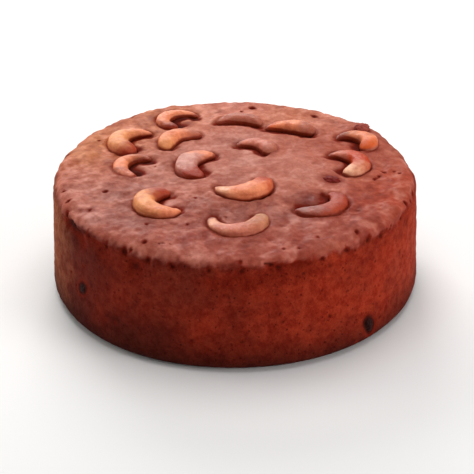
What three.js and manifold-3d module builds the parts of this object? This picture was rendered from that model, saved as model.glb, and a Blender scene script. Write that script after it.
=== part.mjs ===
// A round, uncut fruit cake, baked in a plain tin, with whole cashews pressed into its crust
// and a few raisins showing at the surface. Every nut and raisin is its own solid, seated in a
// pocket of the cake with a small gap all round, as a crust shrinks back from what it holds.
// Units are millimetres, +Z is up, and the origin is the centre of the flat base.

import * as THREE from "three";
import { mergeVertices } from "three/addons/utils/BufferGeometryUtils.js";
import Module from "manifold-3d";

// ---- Driving dimensions of the cake ----
const BASE_DIAMETER = 183; // across the foot of the wall
const HEIGHT = 59; // from the base up to the top edge
const TOP_SHARE = 0.983; // the wall leans in, so the top is this share of the base
const DOME = 2; // how far the middle rises over the top edge
const FOOT_ROUND = 6; // radius of the rounded corner at the base
const EDGE_ROUND = 7; // radius of the rounded corner at the top
const WALL_WAVE = 0.6; // how far the wall wanders in and out
const CRUST_WAVE = 0.8; // how far the top wanders up and down

// ---- Fit of what is baked in ----
const POCKET_GAP = 0.4; // clear space all round a nut or raisin

// ---- Facets ----
const CAKE_SEGMENTS = 64;
const ROUND_STEPS = 4;
const WALL_STEPS = 3;
const TOP_STEPS = 7;
const NUT_AROUND = 10;
const NUT_ALONG = 10;
const RAISIN_AROUND = 12;
const RAISIN_ALONG = 8;

const TOP_RADIUS = (BASE_DIAMETER / 2) * TOP_SHARE;
const BASE_RADIUS = BASE_DIAMETER / 2;

// ---- What is baked into the crust ----
// A cashew lies on its side and is bent round a circle centred at x, y. bend is that circle's
// radius, faces is the heading in degrees of the middle of its back, and sweep is how much of
// the circle it covers. open is how much wider the bend is at its anticlockwise end than in the
// middle, and narrower at the other. width is its widest place, thick is how much fatter that
// anticlockwise end is, rise is the height of its middle over the crust, and lean is how much
// higher that end lies.
const CASHEWS = [
  {
    x: -49.5, y: 31.2, bend: 10.4, faces: 163, sweep: 212, open: -0.25,
    width: 10.6, thick: 0.32, rise: -0.6, lean: -0.3,
  },
  {
    x: -47.6, y: 4.4, bend: 9.8, faces: 163, sweep: 206, open: -0.12,
    width: 8.2, thick: 0.1, rise: -1.3, lean: -0.5,
  },
  {
    x: -23.5, y: 27.2, bend: 12.5, faces: 131, sweep: 136, open: -0.12,
    width: 10.2, thick: 0.15, rise: -0.5, lean: 0.4,
  },
  {
    x: -28.5, y: 57.8, bend: 9.5, faces: 152, sweep: 220, open: -0.3,
    width: 7.8, thick: 0.15, rise: -1.3, lean: 0.3,
  },
  {
    x: -13.5, y: 5.2, bend: 11, faces: 167, sweep: 188, open: -0.08,
    width: 12, thick: 0.05, rise: -0.9, lean: -0.4,
  },
  {
    x: -33, y: -35, bend: 10.9, faces: 196, sweep: 228, open: 0,
    width: 11, thick: -0.05, rise: -0.4, lean: 0.3,
  },
  {
    x: 2, y: -14.6, bend: 12, faces: 284, sweep: 172, open: 0,
    width: 11, thick: 0.42, rise: -0.3, lean: 0.5,
  },
  {
    x: 0, y: -51, bend: 11.3, faces: 270, sweep: 230, open: 0.05,
    width: 9.8, thick: 0.3, rise: -0.7, lean: 0.5,
  },
  {
    x: 0.7, y: 47.1, bend: 15, faces: 84, sweep: 105, open: 0,
    width: 8.4, thick: -0.12, rise: -1.4, lean: -0.3,
  },
  {
    x: 8.6, y: 20, bend: 10.5, faces: 60, sweep: 142, open: 0.22,
    width: 9.4, thick: -0.25, rise: -1.5, lean: -0.4,
  },
  {
    x: 23.2, y: 32.9, bend: 20, faces: 73, sweep: 80, open: 0,
    width: 9, thick: -0.35, rise: -1.1, lean: -0.4,
  },
  {
    x: 60, y: 31, bend: 9, faces: 42, sweep: 196, open: 0.28,
    width: 9.2, thick: -0.25, rise: -0.9, lean: -0.4,
  },
  {
    x: 52.6, y: 7, bend: 10.3, faces: 16, sweep: 206, open: 0.22,
    width: 9.8, thick: -0.15, rise: -0.5, lean: -0.3,
  },
  {
    x: 38.5, y: -32, bend: 11.3, faces: 314, sweep: 198, open: 0,
    width: 10.4, thick: 0, rise: -1.2, lean: 0.3,
  },
];
const NUT_FLATNESS = 0.86; // a cashew's thickness as a share of its width
const NUT_BLUNTNESS = 2.4; // 2 is an ellipse's end; more is blunter

// A raisin is a plump, puckered pillow. at is its middle, as a heading and a distance from the
// axis with a height, or with no height where it lies in the top crust.
const RAISINS = [
  { name: "raisin_edge", heading: 36.5, radius: 81, sink: -0.8, long: 9, wide: 7, tall: 6, turn: 110 },
  { name: "raisin_top", heading: 350, radius: 48, sink: 0.9, long: 10, wide: 8, tall: 5, turn: 60 },
  { name: "raisin_wall_left", heading: 216, height: 24, sink: 1.6, long: 8, wide: 5.5, tall: 5, turn: 80 },
  { name: "raisin_wall_right", heading: 315, height: 10, sink: 1.6, long: 9, wide: 6, tall: 5, turn: 65 },
];
const RAISIN_PUCKERS = 5;
const PUCKER_DEPTH = 0.07; // as a share of the raisin's size

const rad = THREE.MathUtils.degToRad;

// ---- The cake's own shape ----

// How far the wall stands out at a heading and a height: slow waves round the tin.
function wallWave(heading, z) {
  const lift = z / HEIGHT;
  const slow = 0.6 * Math.sin(3 * heading + 1.1);
  return WALL_WAVE * (slow + 0.4 * Math.sin(5 * heading - 2 * lift + 0.4));
}

// How far the top crust rises or dips at a place: two crossing swells.
function crustWave(x, y) {
  const slow = 0.6 * Math.sin(x / 17 + 0.8) * Math.cos(y / 21);
  return CRUST_WAVE * (slow + 0.4 * Math.sin((x - y) / 13));
}

// The height of the top crust at a place, inside its rounded edge.
function crustHeight(x, y) {
  const share = Math.hypot(x, y) / TOP_RADIUS;
  return HEIGHT + DOME * (1 - share * share) + crustWave(x, y);
}

// The half section from the middle of the base, round the foot, up the wall and over the top.
function cakeProfile() {
  const points = [new THREE.Vector2(0, 0)];
  for (let i = 0; i <= ROUND_STEPS; i++) {
    const a = (i / ROUND_STEPS) * (Math.PI / 2);
    const out = BASE_RADIUS - FOOT_ROUND + FOOT_ROUND * Math.sin(a);
    points.push(new THREE.Vector2(out, FOOT_ROUND * (1 - Math.cos(a))));
  }
  for (let i = 1; i < WALL_STEPS; i++) {
    const share = i / WALL_STEPS;
    const z = THREE.MathUtils.lerp(FOOT_ROUND, HEIGHT - EDGE_ROUND, share);
    points.push(new THREE.Vector2(THREE.MathUtils.lerp(BASE_RADIUS, TOP_RADIUS, share), z));
  }
  for (let i = 0; i <= ROUND_STEPS; i++) {
    const a = (i / ROUND_STEPS) * (Math.PI / 2);
    const out = TOP_RADIUS - EDGE_ROUND + EDGE_ROUND * Math.cos(a);
    points.push(new THREE.Vector2(out, HEIGHT - EDGE_ROUND + EDGE_ROUND * Math.sin(a)));
  }
  for (let i = TOP_STEPS - 1; i >= 0; i--) {
    points.push(new THREE.Vector2((TOP_RADIUS - EDGE_ROUND) * (i / TOP_STEPS), HEIGHT));
  }
  return points;
}

// The turned profile, with the wall's waves, the dome and the crust's swells added. The waves
// fade out at the foot, so that the base stays flat.
function cakeGeometry() {
  const geometry = new THREE.LatheGeometry(cakeProfile(), CAKE_SEGMENTS).rotateX(Math.PI / 2);
  const position = geometry.attributes.position;
  for (let i = 0; i < position.count; i++) {
    const x = position.getX(i);
    const y = position.getY(i);
    const z = position.getZ(i);
    const out = Math.hypot(x, y);
    const heading = Math.atan2(y, x);
    const grown = 1 + (wallWave(heading, z) * Math.min(1, out / BASE_RADIUS)) / BASE_RADIUS;
    const topShare = THREE.MathUtils.smoothstep(z, HEIGHT - EDGE_ROUND, HEIGHT);
    const lift = (crustHeight(x, y) - HEIGHT) * topShare;
    position.setXYZ(i, x * grown, y * grown, z + lift);
  }
  return centred(geometry);
}

// The same shape moved sideways, so that its outline is centred on the origin.
function centred(geometry) {
  geometry.computeBoundingBox();
  const middle = geometry.boundingBox.getCenter(new THREE.Vector3());
  return geometry.translate(-middle.x, -middle.y, 0);
}

// ---- A cashew ----

// A unit sphere whose poles are the nut's two ends, drawn out along the bend: each ring across
// the poles becomes an oval section, square to the bend, and the ends are a little blunter than
// a sphere's. extra grows the nut all round, which makes its pocket.
function cashewGeometry(nut, extra = 0) {
  const geometry = new THREE.SphereGeometry(1, NUT_AROUND, NUT_ALONG);
  const position = geometry.attributes.position;
  const halfWidth = nut.width / 2;
  const halfSweep = rad(nut.sweep) / 2 + extra / nut.bend;
  const base = crustHeight(nut.x, nut.y) + nut.rise;
  for (let i = 0; i < position.count; i++) {
    const along = THREE.MathUtils.clamp(position.getY(i), -1, 1);
    const ring = Math.hypot(position.getX(i), position.getZ(i));
    const turn = Math.atan2(position.getZ(i), position.getX(i));
    const blunt = ring > 0 ? Math.pow(1 - Math.pow(Math.abs(along), NUT_BLUNTNESS), 1 / 2) : 0;
    const half = halfWidth * (1 + nut.thick * along) * blunt + extra * Math.min(1, 2 * blunt);
    const heading = rad(nut.faces) + halfSweep * along;
    const out = nut.bend * (1 + nut.open * along) + half * Math.cos(turn);
    position.setXYZ(
      i,
      nut.x + out * Math.cos(heading),
      nut.y + out * Math.sin(heading),
      base + nut.lean * along + half * NUT_FLATNESS * Math.sin(turn),
    );
  }
  return geometry;
}

// ---- A raisin ----

// A sphere pressed to the raisin's three sizes, with puckers that run from end to end.
function raisinGeometry(raisin, extra = 0) {
  const geometry = new THREE.SphereGeometry(1, RAISIN_AROUND, RAISIN_ALONG);
  const position = geometry.attributes.position;
  for (let i = 0; i < position.count; i++) {
    const turn = Math.atan2(position.getZ(i), position.getX(i));
    const pucker = 1 - PUCKER_DEPTH * (1 + Math.cos(RAISIN_PUCKERS * turn));
    position.setXYZ(
      i,
      position.getX(i) * pucker * (raisin.wide / 2 + extra),
      position.getY(i) * (raisin.long / 2 + extra),
      position.getZ(i) * pucker * (raisin.tall / 2 + extra),
    );
  }
  return geometry.applyMatrix4(raisinPlace(raisin));
}

// Where a raisin lies: its short axis points out of the crust, and turn spins it about that.
function raisinPlace(raisin) {
  const heading = rad(raisin.heading);
  const ahead = new THREE.Vector3(Math.cos(heading), Math.sin(heading), 0);
  const inTop = raisin.radius !== undefined;
  const outward = inTop ? new THREE.Vector3(0, 0, 1) : ahead.clone();
  const at = inTop ? ahead.clone().multiplyScalar(raisin.radius) : wallPoint(heading, raisin.height);
  if (inTop) at.z = crustHeight(at.x, at.y);
  at.addScaledVector(outward, -raisin.sink);
  const lie = new THREE.Quaternion().setFromUnitVectors(new THREE.Vector3(0, 0, 1), outward);
  const spin = new THREE.Quaternion().setFromAxisAngle(outward, rad(raisin.turn));
  return new THREE.Matrix4().compose(at, spin.multiply(lie), new THREE.Vector3(1, 1, 1));
}

// A point of the wall at a heading and a height.
function wallPoint(heading, z) {
  const share = THREE.MathUtils.clamp((z - FOOT_ROUND) / (HEIGHT - EDGE_ROUND - FOOT_ROUND), 0, 1);
  const out = THREE.MathUtils.lerp(BASE_RADIUS, TOP_RADIUS, share) + wallWave(heading, z);
  return new THREE.Vector3(out * Math.cos(heading), out * Math.sin(heading), z);
}

// ---- Cutting the pockets ----

const wasm = await Module();
wasm.setup();

// A three.js geometry as a manifold-3d solid.
function toSolid(geometry) {
  const bare = geometry.clone();
  bare.deleteAttribute("normal");
  bare.deleteAttribute("uv");
  const merged = mergeVertices(bare, 1e-3);
  const mesh = new wasm.Mesh({
    numProp: 3,
    vertProperties: new Float32Array(merged.attributes.position.array),
    triVerts: new Uint32Array(merged.index.array),
  });
  return new wasm.Manifold(mesh);
}

// A manifold-3d solid as a three.js geometry.
function toGeometry(solid) {
  const mesh = solid.getMesh();
  const geometry = new THREE.BufferGeometry();
  geometry.setAttribute("position", new THREE.BufferAttribute(mesh.vertProperties, 3));
  geometry.setIndex(new THREE.BufferAttribute(mesh.triVerts, 1));
  geometry.computeVertexNormals();
  return geometry;
}

function cutCake() {
  let solid = toSolid(cakeGeometry());
  for (const nut of CASHEWS) solid = solid.subtract(toSolid(cashewGeometry(nut, POCKET_GAP)));
  for (const raisin of RAISINS) solid = solid.subtract(toSolid(raisinGeometry(raisin, POCKET_GAP)));
  return toGeometry(solid);
}

// ---- Materials ----
const crustLook = new THREE.MeshStandardMaterial({ color: 0x8a4a36, roughness: 0.8, metalness: 0 });
const cashewLook = new THREE.MeshStandardMaterial({ color: 0xd28a5a, roughness: 0.5, metalness: 0 });
const raisinLook = new THREE.MeshStandardMaterial({ color: 0x3c1512, roughness: 0.55, metalness: 0 });

// ---- The group ----
function named(name, geometry, material) {
  const mesh = new THREE.Mesh(geometry, material);
  mesh.name = name;
  return mesh;
}

const fruitCake = new THREE.Group();
fruitCake.name = "fruit_cake";
fruitCake.add(named("cake", cutCake(), crustLook));
CASHEWS.forEach((nut, i) => {
  const name = `cashew_${String(i + 1).padStart(2, "0")}`;
  fruitCake.add(named(name, cashewGeometry(nut), cashewLook));
});
for (const raisin of RAISINS) {
  fruitCake.add(named(raisin.name, raisinGeometry(raisin), raisinLook));
}

export default fruitCake;
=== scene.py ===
"""A round, uncut fruit cake with cashews baked into its crust and raisins at its surface.

Lengths in the shape functions are millimetres, in the frame of the CAD part: +Z up, the
origin at the centre of the flat base. put_mesh() turns them into metres.
"""

import math

import bpy
import numpy as np
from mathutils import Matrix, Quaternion, Vector


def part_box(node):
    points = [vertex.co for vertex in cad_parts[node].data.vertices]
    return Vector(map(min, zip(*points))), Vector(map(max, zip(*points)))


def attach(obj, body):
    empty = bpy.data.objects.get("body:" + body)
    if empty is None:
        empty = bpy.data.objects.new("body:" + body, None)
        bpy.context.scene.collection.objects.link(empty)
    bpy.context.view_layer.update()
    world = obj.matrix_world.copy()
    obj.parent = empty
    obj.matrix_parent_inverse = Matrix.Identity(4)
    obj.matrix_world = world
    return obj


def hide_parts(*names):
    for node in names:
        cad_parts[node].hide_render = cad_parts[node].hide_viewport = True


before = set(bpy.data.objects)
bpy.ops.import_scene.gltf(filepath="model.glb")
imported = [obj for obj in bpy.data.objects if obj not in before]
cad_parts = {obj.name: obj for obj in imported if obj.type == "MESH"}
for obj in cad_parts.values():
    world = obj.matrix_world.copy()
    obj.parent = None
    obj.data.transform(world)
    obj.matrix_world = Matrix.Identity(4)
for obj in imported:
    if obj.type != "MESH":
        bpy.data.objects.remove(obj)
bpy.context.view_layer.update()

MM = 0.001

# ---- Driving sizes of the cake ----
CAKE_LOW, CAKE_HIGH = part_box("cake")
BASE_RADIUS = (CAKE_HIGH.x - CAKE_LOW.x) / 2 / MM
TOP_RADIUS = BASE_RADIUS * 0.983  # the wall leans out a little on its way down
HEIGHT = 59.0  # from the base up to the top edge
DOME = 2.0  # how far the middle rises over the top edge
FOOT_ROUND = 6.0
EDGE_ROUND = 7.0
WALL_WAVE = 0.6
CRUST_WAVE = 0.8
FLAT_RADIUS = TOP_RADIUS - EDGE_ROUND  # where the flat of the top ends and the edge begins

# ---- Grid of the cake ----
TOP_CELLS = 208  # the flat of the top is a grid of this many cells each way
COLUMNS = 4 * TOP_CELLS  # so each step round the top edge starts one column of the wall
EDGE_ROWS = 14
WALL_ROWS = 40
FOOT_ROWS = 8
BASE_ROWS = 3

# ---- How deep the marks in the surface are ----
LEDGE_OUT = 1.3  # how far the crust's edge stands out over a recess
RECESS_DEPTH = 2.6
CREVICE_DEPTH = 1.0
HOLLOW_DEPTH = 1.1
BATTER_RISE = 2.4
PIT_DEPTH = 0.6  # as a share of the pit's radius
SMOOTH_MIDDLE = (20, 25)  # the smoothest and most even place of the top, in plan
LATTICE = 32  # the random lattice behind the lumps repeats after this many cells
SMALL_PORES = 110
SMALL_PORE_SPAN = (84, 146)
SMALL_PORE_SEED = 41

# ---- Where the rim's marks start and end, as lengths over the surface from the middle ----
RIM_STARTS = (80, 86)
RIM_ENDS = (94, 100)
RECESS_STARTS = (89.8, 91.4)
RECESS_ENDS = (94.0, 109.0)
LEDGE_PLACE = 88.3
LEDGE_WIDTH = 2.4

# ---- Lumps of several sizes: each layer's amount, size and seed ----
TOP_LUMPS = ((0.42, 14, 1), (0.34, 6.5, 2), (0.22, 3.2, 3), (0.10, 1.9, 25))
WALL_LUMPS = ((0.28, 12, 4), (0.20, 4.2, 5), (0.20, 2.3, 6))
RIM_LUMPS = ((0.45, 5.5, 7), (0.25, 2.6, 26))
EDGE_WANDER = ((0.16, 6, 14), (0.12, 2.6, 15), (0.10, 1.3, 33))
RECESS_WANDER = ((1.6, 9, 8), (0.9, 3.6, 9))
CRACK_WANDER = ((1.8, 6, 11), (1.3, 2.4, 12))
PATCH_EDGES = ((0.45, 9, 19), (0.25, 3.5, 20))
MOTTLE = ((0.6, 8, 30), (0.5, 4, 31), (0.5, 2, 32))
CRUMB_PATCHES = ((0.35, 16, 21), (0.2, 6, 22))

# ---- Colours, as 0 to 255 screen values ----
TONES = {
    "crust": (176, 96, 76),
    "pale_crust": (214, 140, 122),
    "dark_crust": (122, 48, 38),
    "painted_highlight_pink": (232, 164, 150),
    "mauve_crust": (192, 126, 110),
    "painted_recess_shade": (112, 40, 32),
    "golden": (192, 114, 70),
    "russet": (150, 64, 50),
    "ember": (164, 54, 30),
    "plum": (146, 88, 78),
    "dark_crumb": (97, 24, 12),
    "red_crumb": (152, 42, 20),
    "brown_crumb": (90, 33, 22),
    "scorch_and_shade_dark": (44, 11, 6),
    "crevice": (120, 27, 9),
    "painted_sheen_tan": (184, 100, 62),
    "gold_nut": (236, 152, 98),
    "pale_nut": (246, 182, 146),
    "salmon_nut": (238, 140, 98),
    "amber_nut": (214, 92, 40),
    "orange_nut": (192, 62, 14),
    "rose_nut": (208, 118, 94),
    "grey_nut": (206, 140, 124),
    "dull_nut": (192, 130, 92),
    "coated_nut": (178, 98, 76),
    "russet_nut": (172, 68, 44),
    "red_nut": (160, 50, 28),
    "shadow_nut": (120, 52, 30),
    "brown_nut": (134, 38, 11),
    "raisin": (118, 34, 28),
    "pale_raisin": (142, 62, 52),
    "coated_raisin": (182, 96, 82),
    "dark_raisin": (50, 12, 8),
    "hidden_raisin": (34, 6, 3),
}

# ---- Cashews ----
# A cashew lies on its side, bent round a circle centred at x, y, with that circle's radius,
# the heading of the middle of its back and the sweep it covers. open is how much wider the
# bend is at its anticlockwise end, thick is how much fatter that end is, and lean how much
# higher. rise is the height of its middle over the crust.
# batter is how far crust has climbed over its back, notch how deep the crust is in its hollow
# and how dark, the dark being painted shade, split how far its upper side is the flat cut face
# of a half, and the last three are its tones at the clockwise end, in the middle and at the
# anticlockwise end. Where shadow_nut or brown_nut stands as an end's tone, it is painted shade
# on a lobe or arm that faces away from the light.
NUT_FIELDS = (
    "x", "y", "bend", "faces", "sweep", "open", "width", "thick", "rise", "lean",
    "batter", "notch", "split", "tones",
)
NUTS = [
    (-49.5, 31.2, 10.4, 163, 212, -0.25, 10.6, 0.32, -0.6, -0.3,
     0.10, 0.7, 0.0, ("salmon_nut", "gold_nut", "russet_nut")),
    (-47.6, 4.4, 9.8, 163, 206, -0.12, 8.2, 0.1, -1.3, -0.5,
     0.25, 1.0, 0.0, ("shadow_nut", "salmon_nut", "rose_nut")),
    (-23.5, 27.2, 12.5, 131, 136, -0.12, 10.2, 0.15, -0.5, 0.4,
     0.10, 0.5, 0.0, ("coated_nut", "salmon_nut", "gold_nut")),
    (-28.5, 57.8, 9.5, 152, 220, -0.3, 7.8, 0.15, -1.3, 0.3,
     0.05, 1.0, 0.0, ("salmon_nut", "salmon_nut", "brown_nut")),
    (-13.5, 5.2, 11, 167, 188, -0.08, 12, 0.05, -0.9, -0.4,
     0.10, 0.7, 0.9, ("salmon_nut", "grey_nut", "red_nut")),
    (-33, -35, 10.9, 196, 228, 0, 11, -0.05, -0.4, 0.3,
     0.05, 0.8, 0.0, ("russet_nut", "gold_nut", "salmon_nut")),
    (2, -14.6, 12, 284, 172, 0, 11, 0.42, -0.3, 0.5,
     0.00, 0.5, 0.3, ("pale_nut", "salmon_nut", "orange_nut")),
    (0, -51, 11.3, 270, 230, 0.05, 9.8, 0.3, -0.7, 0.5,
     0.15, 0.5, 0.3, ("pale_nut", "rose_nut", "dull_nut")),
    (0.7, 47.1, 15, 84, 105, 0, 8.4, -0.12, -1.4, -0.3,
     0.80, 0.9, 0.0, ("brown_nut", "coated_nut", "rose_nut")),
    (8.6, 20, 10.5, 60, 142, 0.22, 9.4, -0.25, -1.5, -0.4,
     0.45, 0.85, 0.0, ("coated_nut", "rose_nut", "rose_nut")),
    (23.2, 32.9, 20, 73, 80, 0, 9, -0.35, -1.1, -0.4,
     0.35, 0.9, 0.0, ("coated_nut", "salmon_nut", "amber_nut")),
    (60, 31, 9, 42, 196, 0.28, 9.2, -0.25, -0.9, -0.4,
     0.30, 0.9, 0.0, ("amber_nut", "salmon_nut", "shadow_nut")),
    (52.6, 7, 10.3, 16, 206, 0.22, 9.8, -0.15, -0.5, -0.3,
     0.10, 0.8, 0.0, ("pale_nut", "orange_nut", "rose_nut")),
    (38.5, -32, 11.3, 314, 198, 0, 10.4, 0, -1.2, 0.3,
     0.08, 0.9, 0.4, ("plum", "russet_nut", "red_nut")),
]
NUTS = [dict(zip(NUT_FIELDS, row)) for row in NUTS]
NUT_FLATNESS = 0.86
NUT_BLUNTNESS = 2.4
NUT_AROUND = 56
NUT_ALONG = 110

# ---- Raisins ----
RAISIN_FIELDS = (
    "name", "heading", "radius", "height", "sink", "long", "wide", "tall", "turn", "tones",
)
RAISINS = [
    ("raisin_edge", 36.5, 81, None, -0.8, 9, 7, 6, 110, ("coated_raisin", "pale_raisin")),
    ("raisin_top", 350, 48, None, 0.9, 10, 8, 5, 60, ("raisin", "raisin")),
    ("raisin_wall_left", 216, None, 24, 1.6, 8, 5.5, 5, 80, ("dark_raisin", "hidden_raisin")),
    ("raisin_wall_right", 315, None, 10, 1.6, 9, 6, 5, 65, ("dark_raisin", "hidden_raisin")),
]
RAISINS = [dict(zip(RAISIN_FIELDS, row)) for row in RAISINS]
RAISIN_AROUND = 72
RAISIN_ALONG = 48
RAISIN_REACH = 2.1  # how far the dark round a raisin goes, as a share of its half size

# ---- Finishes: the scales of their noises, and the factors on their colours ----
SCALE_FIELDS = ("Mottle Scale", "Grain Scale", "Pit Scale", "Pit Share")
FACTOR_FIELDS = ("Dark Factor", "Light Factor", "Pit Factor")
# Each pit factor darkens the grain's pits: painted shade. The wall's light factor lifts green and
# blue most, so its light speckles are whitish: partly the crumb's grain, partly painted glints.
FINISHES = {
    "top": ((125, 480, 240, 0.12), ((0.78, 0.64, 0.60), (1.18, 1.30, 1.32), (0.66, 0.54, 0.52))),
    "wall": ((230, 700, 330, 0.22), ((0.74, 0.52, 0.44), (1.22, 1.70, 2.05), (0.62, 0.48, 0.46))),
    "cashew": (
        (240, 900, 500, 0.10), ((0.84, 0.74, 0.70), (1.08, 1.16, 1.18), (0.70, 0.56, 0.50))
    ),
    "raisin": ((260, 1400, 700, 0.1), ((0.75, 0.7, 0.7), (1.2, 1.2, 1.2), (0.6, 0.6, 0.6))),
}
CRUST_GRAIN_DEPTH = 0.0011  # this and the next three are in metres
CASHEW_GRAIN_DEPTH = 0.0006
RAISIN_GRAIN_DEPTH = 0.0005
PIT_SHIFT = 0.0014  # how far a noise pushes the pits out of their cells' middles
TOP_BUMP = 0.8  # how much of its grain's height each part of the crust shows
WALL_BUMP = 1.4

# ---- Stage, in metres and watts ----
FLOOR_HALF = 4000.0  # this and the gap are in millimetres, as the floor is a mesh
FLOOR_GAP = 0.2
FLOOR_POINTS = 9
# Each light's name, place, size, power and colour.
LIGHTS = [
    ("back_glow", (-0.25, 1.0, 0.55), 0.7, 9.0, (1.0, 0.98, 0.96)),
    ("overhead", (0.0, 0.25, 1.3), 1.2, 11.0, (1.0, 0.99, 0.98)),
    ("fill", (0.90, -0.55, 0.26), 0.5, 6.0, (1.0, 0.97, 0.95)),
    ("left_rim", (-1.0, 0.20, 0.25), 0.4, 2.8, (1.0, 0.95, 0.88)),
]
LIGHT_TARGET = (0, 0, 0.03)
WORLD_STRENGTH = 0.24
CAMERA_ELEVATION = 28
CAMERA_AWAY = 1.08
CAMERA_LENS = 163.4
AIM_DROP = 0.0054
AIM_RIGHT = 0.00085

# ---- Marks in the crust: heading in degrees, distance out along the surface, size ----
PORES = [
    (198.8, 67, 1.5), (233.6, 70, 1.7), (209.8, 80, 1.3), (193, 86, 1.5), (240, 84, 1.4),
    (83.3, 77, 1.8), (87.6, 72, 0.9), (58.3, 79, 1.8), (237, 35, 0.9), (265, 48, 0.8),
    (1.4, 79, 1.2), (359.8, 81.5, 1.0), (340, 88, 1.9), (349.5, 90, 1.8), (291, 83, 1.0),
    (286, 81.5, 0.9), (248, 60, 0.7), (325, 72, 0.9), (312, 66, 0.8), (300, 78, 1.1),
    (20, 86, 1.2), (152, 78, 0.9), (120, 74, 0.8), (172, 40, 0.8), (45, 55, 0.8),
    (357, 71.5, 1.3), (0.5, 74.0, 1.1), (354, 69.5, 1.0), (201, 86, 1.5), (206, 90, 1.7),
    (212, 92, 2.2), (219, 91, 1.9), (227, 92.5, 2.1), (235, 91, 2.3), (243, 91.5, 1.7),
    (251, 92, 1.9), (262, 92.5, 1.5), (272, 92.5, 1.6), (283, 92, 1.8), (297, 91.5, 1.6),
    (306, 91, 1.7), (315, 90, 1.8), (321, 92, 1.4), (334, 91, 1.6), (65, 91, 1.6),
]
# A crack runs round the cake from one heading to another, at a distance out along the surface.
CRACKS = [
    (254.5, 261.5, 84.6, 1.1), (265.5, 269.5, 82.6, 0.9), (261, 266, 81.0, 0.6),
    (241, 250, 81.0, 0.5), (276, 284, 89.5, 0.7), (322, 331, 91.0, 0.8), (118, 131, 87.0, 0.8),
    (60, 72, 88.0, 0.8), (160, 171, 89.0, 0.8), (15, 27, 90.5, 0.9),
]
# Where the crust's edge overhangs a dark recess: from one heading to another, and how deep.
OVERHANGS = [
    (198, 246, 1.0), (250, 300, 0.6), (316, 348, 0.6), (24, 78, 0.4), (118, 150, 0.5),
]
# Lumps that stand up under the crust: x, y, reach and height.
BULGES = [
    (-75, -30, 6, 1.3), (-66, -47, 6, 1.5), (-56, -56, 6, 1.0), (-40, -69, 6, 0.9),
    (-74, 22, 8, 1.2), (-18, -78, 7, 0.8), (30, -40, 7, -1.0), (-30, -8, 8, -0.8),
    (79, -20, 5, 0.9), (74, -36, 5, 0.9), (81, 8, 4, 0.8), (62, -54, 6, 0.8), (8, -70, 8, 0.6),
]
# Patches of other tones on the top: x, y, reach, tone and strength. Most are where the top
# browned unevenly. The pink patches near the front-left edge are painted highlights on lumps,
# the dark patch at 34, -32 is painted shade in the recess by a nut, the pale patches at the
# back are painted sheen, and the russet and plum patches along the front are partly uneven
# browning and partly painted shade.
TOP_PATCHES = [
    (-62, 36, 24, "golden", 0.95), (-34, 68, 22, "golden", 0.8), (-74, 12, 15, "golden", 0.7),
    (30, 64, 22, "golden", 0.35), (66, 26, 20, "russet", 0.6), (50, 14, 14, "ember", 0.35),
    (70, -30, 20, "ember", 0.75), (52, -46, 18, "russet", 0.9), (20, -70, 24, "russet", 0.8),
    (-22, -66, 24, "russet", 0.9), (-48, -52, 18, "plum", 0.6), (84, -2, 14, "ember", 0.6),
    (-44, -10, 12, "plum", 0.7), (-28, -4, 8, "plum", 0.8), (-58, -24, 12, "plum", 0.6),
    (32, -2, 18, "mauve_crust", 0.6), (-5, 76, 24, "pale_crust", 0.4),
    (50, 62, 16, "pale_crust", 0.3), (0, -74, 26, "russet", 0.45),
    (-56, -60, 14, "russet", 0.5), (0, 32, 12, "plum", 0.6), (12, 22, 14, "russet", 0.2),
    (34, -32, 8, "painted_recess_shade", 0.95), (46, 42, 12, "russet", 0.3), (-62, 13, 9, "russet", 0.6),
    (0, -44, 26, "plum", 0.55), (-66, -47, 6, "painted_highlight_pink", 0.75), (-74, -36, 4, "painted_highlight_pink", 0.4),
    (-30, -78, 6, "painted_highlight_pink", 0.25), (-16, -84, 5, "painted_highlight_pink", 0.25), (-72, 20, 10, "golden", 0.8),
    (80, -16, 13, "ember", 0.45), (60, -60, 18, "russet", 0.8), (32, -82, 12, "russet", 0.6),
    (-50, -46, 16, "plum", 0.5), (-28, 14, 24, "mauve_crust", 0.6),
    (2, 16, 20, "mauve_crust", 0.6), (14, 45, 12, "mauve_crust", 0.5),
    (-76, -17, 14, "mauve_crust", 0.5), (28, -46, 10, "plum", 0.4), (-79, 2, 9, "russet", 0.5),
]


def srgb(red, green, blue):
    """A colour given as 0 to 255 screen values, as the linear values that shaders take."""
    share = np.array([red, green, blue], float) / 255
    low = share / 12.92
    high = ((share + 0.055) / 1.055) ** 2.4
    return (*np.where(share <= 0.04045, low, high), 1.0)


def tone(name):
    """A named colour as a linear array."""
    return np.array(srgb(*TONES[name]))


def blend(first, second, share):
    """Linear colours from first to second, one for each share."""
    share = np.asarray(share)[..., None]
    return np.asarray(first) * (1 - share) + np.asarray(second) * share


# ---- Shape helpers ----

def smooth_step(low, high, value):
    """0 below low, 1 above high, and 3t^2 - 2t^3 in between."""
    t = np.clip((value - low) / (high - low), 0, 1)
    return t * t * (3 - 2 * t)


def swell(points, size, seed):
    """Smooth lumps from -1 to 1: random values on a lattice of that size, blended between."""
    table = np.random.default_rng(seed).uniform(-1, 1, (LATTICE, LATTICE, LATTICE))
    scaled = np.asarray(points) / size + 100.0
    cell = np.floor(scaled).astype(int)
    share = smooth_step(0, 1, scaled - cell)
    total = 0
    for corner in np.ndindex(2, 2, 2):
        part = np.where(corner, share, 1 - share)
        place = (cell + corner) % LATTICE
        value = table[place[..., 0], place[..., 1], place[..., 2]]
        total = total + part[..., 0] * part[..., 1] * part[..., 2] * value
    return total


def layered(points, layers):
    """Lumps of several sizes added up."""
    return sum(amount * swell(points, size, seed) for amount, size, seed in layers)


def bell(value, middle, width):
    """1 at the middle, falling off either side as e to the minus square of the distance."""
    return np.exp(-(((value - middle) / width) ** 2))


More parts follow.
